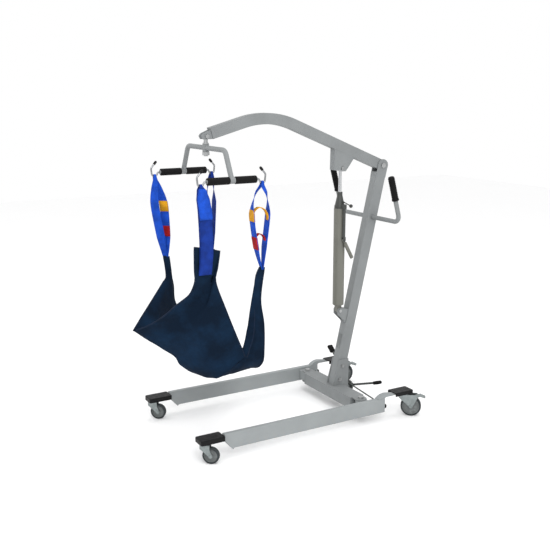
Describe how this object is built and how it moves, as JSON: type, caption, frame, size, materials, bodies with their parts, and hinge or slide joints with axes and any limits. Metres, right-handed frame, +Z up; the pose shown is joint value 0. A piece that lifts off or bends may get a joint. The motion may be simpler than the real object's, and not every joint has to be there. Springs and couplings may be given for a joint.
{
  "type": "patient lift hoist",
  "caption": "Manual hydraulic patient lift: wheeled spreading base, leaning mast, pump-raised boom, swivel spreader bar and hung fabric sling.",
  "frame": {"origin": "on the floor, under the centre of the whole object's plan box, 22.5 mm from the hoist's middle plane", "axes": "+Z up; -Y towards the leg tips and the sling, +Y towards the mast and push handle; X across the hoist"},
  "size_m": [0.695, 1.3778, 1.4748],
  "materials": {
    "frame_paint": "satin light grey powder coat",
    "leg_paint": "satin light grey powder coat",
    "cylinder_paint": "satin warm grey enamel",
    "pump_dark": "dark grey casting",
    "zinc_steel": "zinc plated steel",
    "rod_chrome": "hard chromed rod",
    "hook_steel": "polished wire",
    "rod_dark": "dark painted rod",
    "cap_plastic": "moulded black plastic",
    "grip_rubber": "black foam and rubber sleeve",
    "label_plate": "plain grey plate",
    "caster_grey": "pressed zinc plated steel",
    "hub_plastic": "grey moulded wheel centre",
    "tyre_grey": "dark grey non-marking tread",
    "strap_blue": "woven webbing",
    "sling_navy": "woven polyester"
  },
  "bodies": {
    "base": {"base_crossbeam": "frame_paint", "leg_hinge_bolts": "zinc_steel", "mast_socket": "frame_paint", "mast_tube": "frame_paint", "mast_socket_bolts": "zinc_steel", "boom_pivot_bolt": "zinc_steel", "push_handle": "frame_paint", "push_handle_grips": "grip_rubber", "rating_label": "label_plate", "pump_bracket": "frame_paint", "pump_foot_bolt": "zinc_steel", "pedal_pivot_pin": "zinc_steel"},
    "pedal": {"pedal_rocker": "rod_dark", "pedal_pads": "grip_rubber"},
    "boom": {"boom_tube": "frame_paint", "boom_gusset": "frame_paint", "ram_head_bolt": "zinc_steel", "boom_tip_eye": "frame_paint", "hanger_bolt": "zinc_steel"},
    "cylinder": {"cylinder_tube": "cylinder_paint", "pump_head": "pump_dark", "plunger_tube": "pump_dark"},
    "pump_lever_body": {"pump_lever": "cylinder_paint"},
    "release_lever_body": {"release_lever": "pump_dark"},
    "ram": {"piston_rod": "rod_chrome"},
    "hanger": {"hanger_stem": "zinc_steel", "swivel_nut": "zinc_steel"},
    "spreader": {"spreader_frame": "frame_paint", "spreader_grips": "grip_rubber", "sling_hooks": "hook_steel", "sling_hook_tips": "cap_plastic", "sling_straps_front": "strap_blue", "sling_straps_rear": "strap_blue", "sling_body": "sling_navy"},
    "leg_right": {"leg_tube_right": "leg_paint", "leg_gooseneck_right": "leg_paint", "leg_bumper_right": "grip_rubber", "front_cover_right": "cap_plastic", "rear_cover_right": "cap_plastic"},
    "link_right": {"link_rod_right": "rod_dark"},
    "caster_front_right": {"caster_fork_front_right": "caster_grey"},
    "wheel_front_right": {"wheel_hub_front_right": "hub_plastic", "wheel_tyre_front_right": "tyre_grey"},
    "caster_rear_right": {"caster_fork_rear_right": "caster_grey"},
    "wheel_rear_right": {"wheel_hub_rear_right": "hub_plastic", "wheel_tyre_rear_right": "tyre_grey"},
    "brake_right": {"brake_pedal_right": "caster_grey"},
    "leg_left": {"leg_tube_left": "leg_paint", "leg_gooseneck_left": "leg_paint", "leg_bumper_left": "grip_rubber", "front_cover_left": "cap_plastic", "rear_cover_left": "cap_plastic"},
    "link_left": {"link_rod_left": "rod_dark"},
    "caster_front_left": {"caster_fork_front_left": "caster_grey"},
    "wheel_front_left": {"wheel_hub_front_left": "hub_plastic", "wheel_tyre_front_left": "tyre_grey"},
    "caster_rear_left": {"caster_fork_rear_left": "caster_grey"},
    "wheel_rear_left": {"wheel_hub_rear_left": "hub_plastic", "wheel_tyre_rear_left": "tyre_grey"},
    "brake_left": {"brake_pedal_left": "caster_grey"}
  },
  "joints": [
    {"name": "boom_lift", "type": "hinge", "parent": "base", "child": "boom", "pos_m": [-0.0225, 0.6357, 1.212], "axis": [-1, 0, 0], "range_deg": [-16, 25]},
    {"name": "cylinder_tilt", "type": "hinge", "parent": "base", "child": "cylinder", "pos_m": [-0.0225, 0.3947, 0.497], "axis": [-1, 0, 0], "range_deg": [-0.6, 0.9]},
    {"name": "ram_extend", "type": "slide", "parent": "cylinder", "child": "ram", "axis": [0, 0, 1], "range_m": [-0.068, 0.105]},
    {"name": "pump_lever_stroke", "type": "hinge", "parent": "cylinder", "child": "pump_lever_body", "pos_m": [0.0155, 0.3957, 0.858], "axis": [1, 0, 0], "range_deg": [0, 50]},
    {"name": "release_turn", "type": "hinge", "parent": "cylinder", "child": "release_lever_body", "pos_m": [-0.0025, 0.3967, 1.046], "axis": [1, 0, 0], "range_deg": [0, 40]},
    {"name": "hanger_pitch", "type": "hinge", "parent": "boom", "child": "hanger", "pos_m": [-0.0225, -0.3223, 1.378], "axis": [-1, 0, 0], "range_deg": [-26, 17]},
    {"name": "spreader_swivel", "type": "hinge", "parent": "hanger", "child": "spreader", "pos_m": [-0.0225, -0.3223, 1.328], "axis": [0, 0, 1], "continuous": true},
    {"name": "pedal_rock", "type": "hinge", "parent": "base", "child": "pedal", "pos_m": [-0.0225, 0.4847, 0.085], "axis": [0, -1, 0], "range_deg": [0, 30]},
    {"name": "leg_spread_right", "type": "hinge", "parent": "base", "child": "leg_right", "pos_m": [0.2175, 0.3717, 0.083], "axis": [0, 0, 1], "range_deg": [0, 8]},
    {"name": "link_turn_right", "type": "hinge", "parent": "pedal", "child": "link_right", "pos_m": [-0.018, 0.4617, 0.10181], "axis": [0, -1, 0], "range_deg": [-30, 0]},
    {"name": "caster_swivel_front_right", "type": "hinge", "parent": "leg_right", "child": "caster_front_right", "pos_m": [0.2715, -0.4933, 0.1], "axis": [0, 0, 1], "continuous": true},
    {"name": "wheel_spin_front_right", "type": "hinge", "parent": "caster_front_right", "child": "wheel_front_right", "pos_m": [0.28949, -0.47185, 0.0375], "axis": [0.766, -0.6428, 0], "continuous": true},
    {"name": "caster_swivel_rear_right", "type": "hinge", "parent": "leg_right", "child": "caster_rear_right", "pos_m": [0.2675, 0.5977, 0.1], "axis": [0, 0, 1], "continuous": true},
    {"name": "wheel_spin_rear_right", "type": "hinge", "parent": "caster_rear_right", "child": "wheel_rear_right", "pos_m": [0.29064, 0.62528, 0.05], "axis": [0.766, -0.6428, 0], "continuous": true},
    {"name": "brake_press_right", "type": "hinge", "parent": "caster_rear_right", "child": "brake_right", "pos_m": [0.30606, 0.64366, 0.1], "axis": [-0.766, 0.6428, 0], "range_deg": [0, 12]},
    {"name": "leg_spread_left", "type": "hinge", "parent": "base", "child": "leg_left", "pos_m": [-0.2625, 0.3717, 0.083], "axis": [0, 0, 1], "range_deg": [-8, 0]},
    {"name": "link_turn_left", "type": "hinge", "parent": "pedal", "child": "link_left", "pos_m": [-0.02701, 0.4617, 0.06819], "axis": [0, -1, 0], "range_deg": [-30, 0]},
    {"name": "caster_swivel_front_left", "type": "hinge", "parent": "leg_left", "child": "caster_front_left", "pos_m": [-0.3165, -0.4933, 0.1], "axis": [0, 0, 1], "continuous": true},
    {"name": "wheel_spin_front_left", "type": "hinge", "parent": "caster_front_left", "child": "wheel_front_left", "pos_m": [-0.29851, -0.47185, 0.0375], "axis": [0.766, -0.6428, 0], "continuous": true},
    {"name": "caster_swivel_rear_left", "type": "hinge", "parent": "leg_left", "child": "caster_rear_left", "pos_m": [-0.3125, 0.5977, 0.1], "axis": [0, 0, 1], "continuous": true},
    {"name": "wheel_spin_rear_left", "type": "hinge", "parent": "caster_rear_left", "child": "wheel_rear_left", "pos_m": [-0.28936, 0.62528, 0.05], "axis": [0.766, -0.6428, 0], "continuous": true},
    {"name": "brake_press_left", "type": "hinge", "parent": "caster_rear_left", "child": "brake_left", "pos_m": [-0.27394, 0.64366, 0.1], "axis": [-0.766, 0.6428, 0], "range_deg": [0, 12]}
  ],
  "couplings": [
    {"joint": "cylinder_tilt", "follows": "boom_lift", "ratio": 0.03},
    {"joint": "ram_extend", "follows": "boom_lift", "m_per_rad": 0.235},
    {"joint": "hanger_pitch", "follows": "boom_lift", "ratio": -1},
    {"joint": "leg_spread_right", "follows": "pedal_rock", "ratio": 0.26667},
    {"joint": "link_turn_right", "follows": "pedal_rock", "ratio": -1},
    {"joint": "leg_spread_left", "follows": "pedal_rock", "ratio": -0.26667},
    {"joint": "link_turn_left", "follows": "pedal_rock", "ratio": -1}
  ]
}
